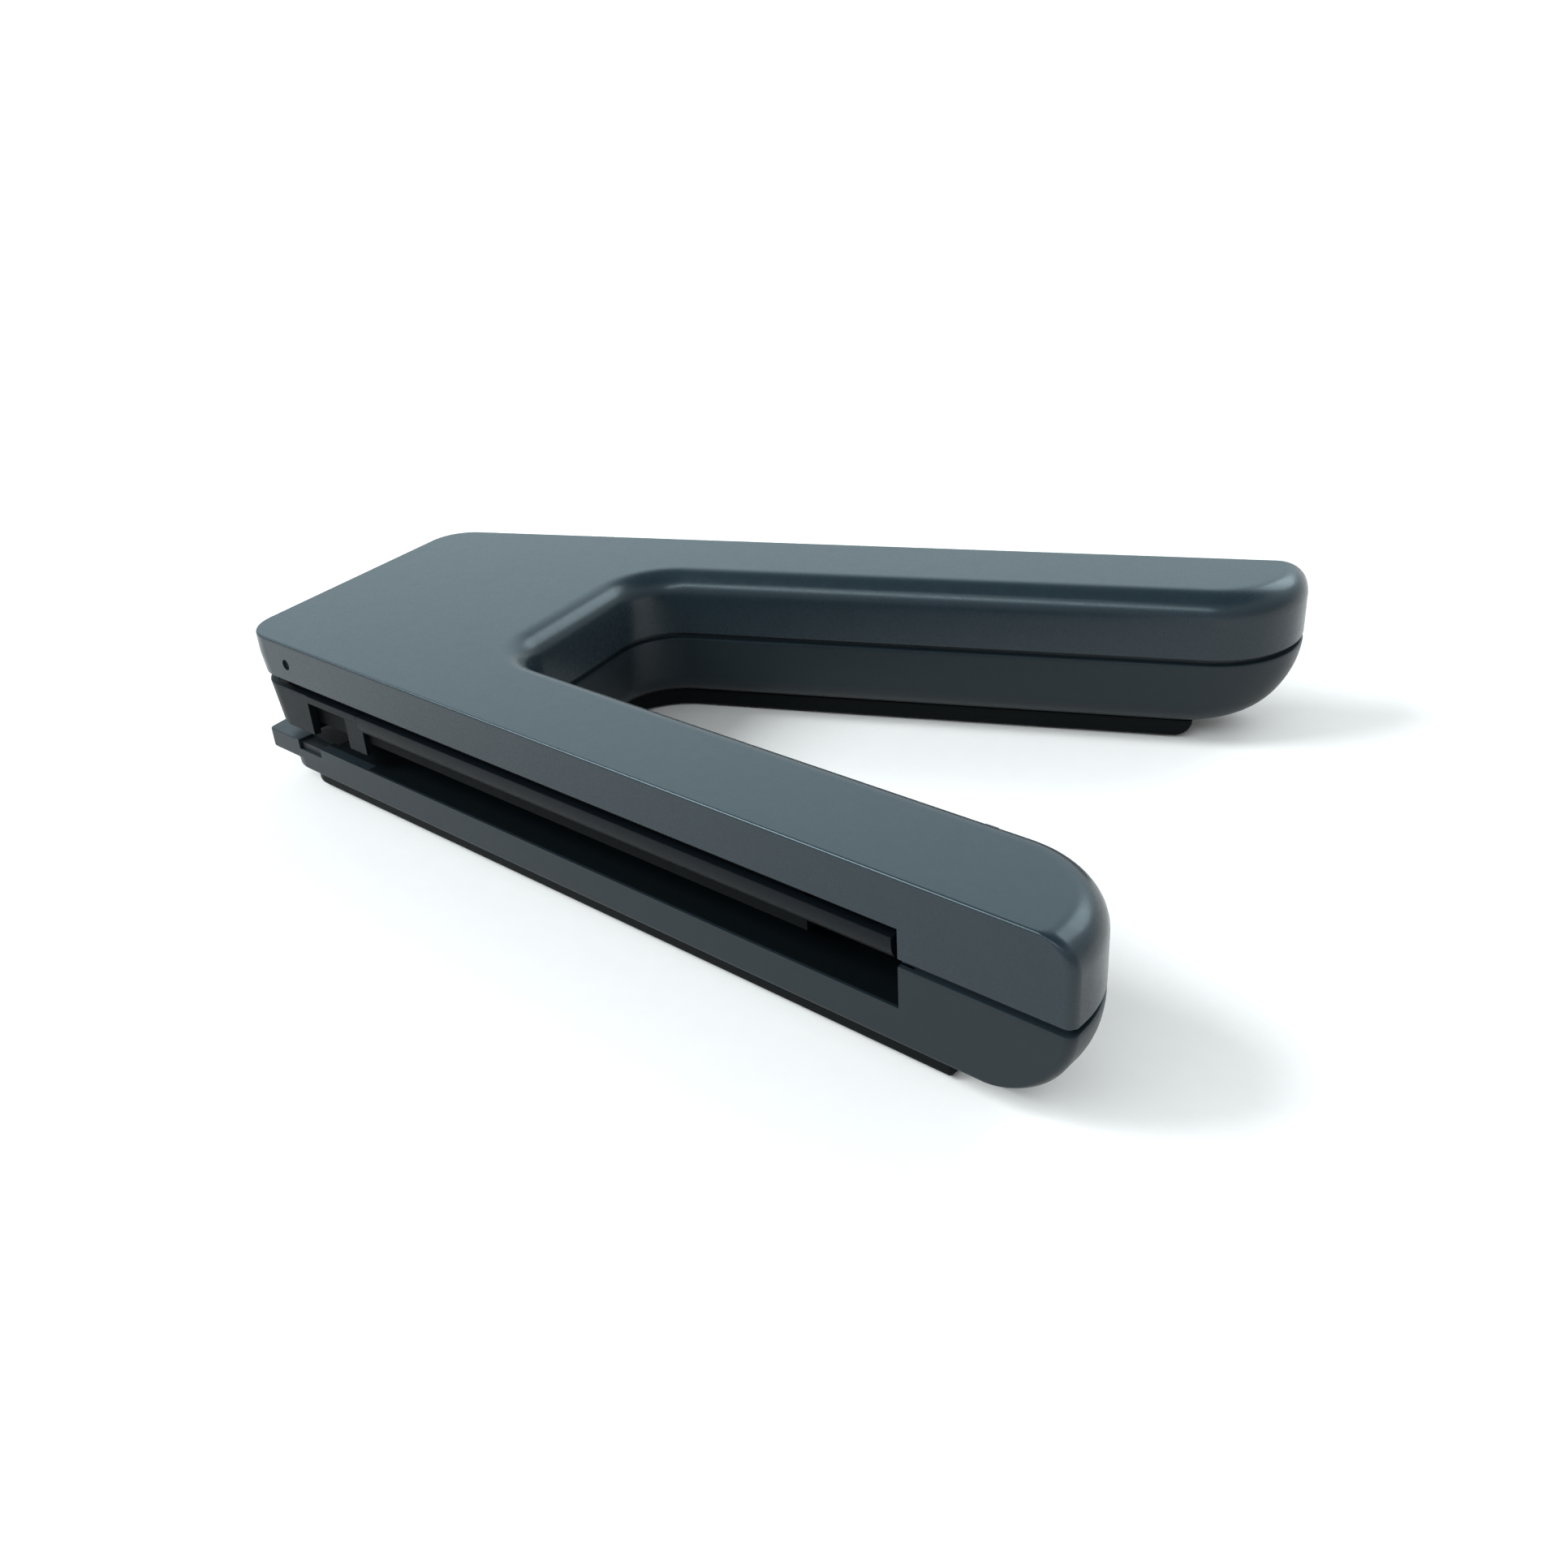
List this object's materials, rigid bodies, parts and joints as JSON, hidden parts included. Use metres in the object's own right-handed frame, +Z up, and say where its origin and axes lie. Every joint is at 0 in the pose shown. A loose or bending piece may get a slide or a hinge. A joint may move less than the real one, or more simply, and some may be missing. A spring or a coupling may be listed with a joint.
{
  "type": "stapler",
  "caption": "Battery-driven stapler with a flat V-shaped body: one arm holds the stapling jaw over a long paper throat, the other arm holds the cells",
  "frame": {"origin": "under the middle of the body's bounding box, on the surface the stapler stands on", "axes": "+X runs along the stapling arm from the head to its tip, +Y from the stapling arm to the battery arm, +Z up"},
  "size_m": [0.1834, 0.13, 0.029],
  "materials": {
    "shell": "fine grain, satin",
    "lower_shell": "fine grain, satin",
    "sole": "fine grain",
    "pad": "matte",
    "jaw_plastic": "fine grain, satin",
    "screw_steel": "zinc plated",
    "magazine_steel": "blackened",
    "staple_wire": "bright galvanised wire",
    "zinc": "cast zinc",
    "spring_steel": "drawn wire",
    "rod_steel": "ground",
    "dark_pin": "blackened",
    "anvil_steel": "stamped",
    "blade_steel": "hardened",
    "lever_steel": "stamped",
    "gear_plastic": "natural acetal",
    "plate_steel": "zinc plated sheet",
    "brass": "machined",
    "motor_steel": "drawn can",
    "motor_end": "moulded",
    "cell_jacket": "plain sleeve",
    "contact_steel": "nickel plated",
    "board": "circuit board",
    "chip": "moulded",
    "sensor_plastic": "moulded"
  },
  "bodies": {
    "housing": {"top_shell": "shell", "bottom_shell": "lower_shell", "base_plate": "sole", "base_pads": "pad", "housing_screws": "screw_steel", "hinge_pin": "rod_steel", "stop_pin": "dark_pin", "anvil_plate": "anvil_steel", "lever_pin": "rod_steel", "gear_axles": "rod_steel", "gear_plate": "plate_steel", "motor_plate": "plate_steel", "plate_posts": "rod_steel", "motor_case": "motor_steel", "motor_cap": "motor_end", "cell_head": "cell_jacket", "cell_tip": "cell_jacket", "contact_spring": "spring_steel", "contact_plates": "contact_steel", "circuit_board": "board", "board_parts": "chip", "sensor_pin": "rod_steel", "sensor_switch": "chip"},
    "jaw": {"jaw_cover": "jaw_plastic", "magazine_channel": "magazine_steel", "staple_strip": "staple_wire", "guide_rod": "rod_steel", "pusher_spring": "spring_steel"},
    "pusher": {"staple_pusher": "zinc"},
    "driver": {"driver_blade": "blade_steel"},
    "lever": {"drive_lever": "lever_steel"},
    "rotor": {"motor_shaft": "rod_steel", "motor_pinion": "brass"},
    "first_wheel": {"first_gear": "gear_plastic"},
    "second_wheel": {"second_gear": "gear_plastic"},
    "crank": {"crank_gear": "gear_plastic"},
    "door": {"battery_door": "sole", "door_pad": "pad"},
    "sensor": {"sensor_lever": "sensor_plastic"}
  },
  "joints": [
    {"name": "motor_spin", "type": "hinge", "parent": "housing", "child": "rotor", "pos_m": [-0.04926, -0.02495, 0.0165], "axis": [0, -1, 0], "range_deg": [0, 3413.33]},
    {"name": "first_wheel_spin", "type": "hinge", "parent": "housing", "child": "first_wheel", "pos_m": [-0.06026, -0.03795, 0.0165], "axis": [0, 1, 0], "range_deg": [0, 1280]},
    {"name": "second_wheel_spin", "type": "hinge", "parent": "housing", "child": "second_wheel", "pos_m": [-0.04926, -0.03995, 0.0165], "axis": [0, -1, 0], "range_deg": [0, 480]},
    {"name": "crank_spin", "type": "hinge", "parent": "housing", "child": "crank", "pos_m": [-0.06026, -0.04195, 0.0165], "axis": [0, 1, 0], "range_deg": [0, 180]},
    {"name": "lever_swing", "type": "hinge", "parent": "housing", "child": "lever", "pos_m": [-0.03726, -0.04555, 0.02], "axis": [0, -1, 0], "range_deg": [0, 15.08]},
    {"name": "blade_drive", "type": "slide", "parent": "housing", "child": "driver", "axis": [0, 0, -1], "range_m": [0, 0.009]},
    {"name": "jaw_close", "type": "hinge", "parent": "housing", "child": "jaw", "pos_m": [0.05874, -0.05495, 0.024], "axis": [0, -1, 0], "range_deg": [0, 1], "stiffness_Nm_per_rad": 0.5, "springref_deg": -4.98},
    {"name": "pusher_slide", "type": "slide", "parent": "jaw", "child": "pusher", "axis": [1, 0, 0], "range_m": [0, 0.06], "stiffness_N_per_m": 20, "springref_m": -0.03, "deforming": ["pusher_spring"]},
    {"name": "door_slide", "type": "slide", "parent": "housing", "child": "door", "axis": [0.9063, 0.4226, 0], "range_m": [0, 0.05]},
    {"name": "sensor_swing", "type": "hinge", "parent": "housing", "child": "sensor", "pos_m": [-0.05826, -0.05215, 0.0078], "axis": [-1, 0, 0], "range_deg": [0, 60], "stiffness_Nm_per_rad": 0.0002, "springref_deg": -28.65}
  ],
  "couplings": [
    {"joint": "first_wheel_spin", "follows": "motor_spin", "ratio": 0.375},
    {"joint": "second_wheel_spin", "follows": "motor_spin", "ratio": 0.14062},
    {"joint": "crank_spin", "follows": "motor_spin", "ratio": 0.052734},
    {"joint": "lever_swing", "follows": "motor_spin", "ratio": 0.0044176},
    {"joint": "blade_drive", "follows": "motor_spin", "m_per_rad": 0.00015107},
    {"joint": "jaw_close", "follows": "motor_spin", "ratio": 0.00029297}
  ]
}
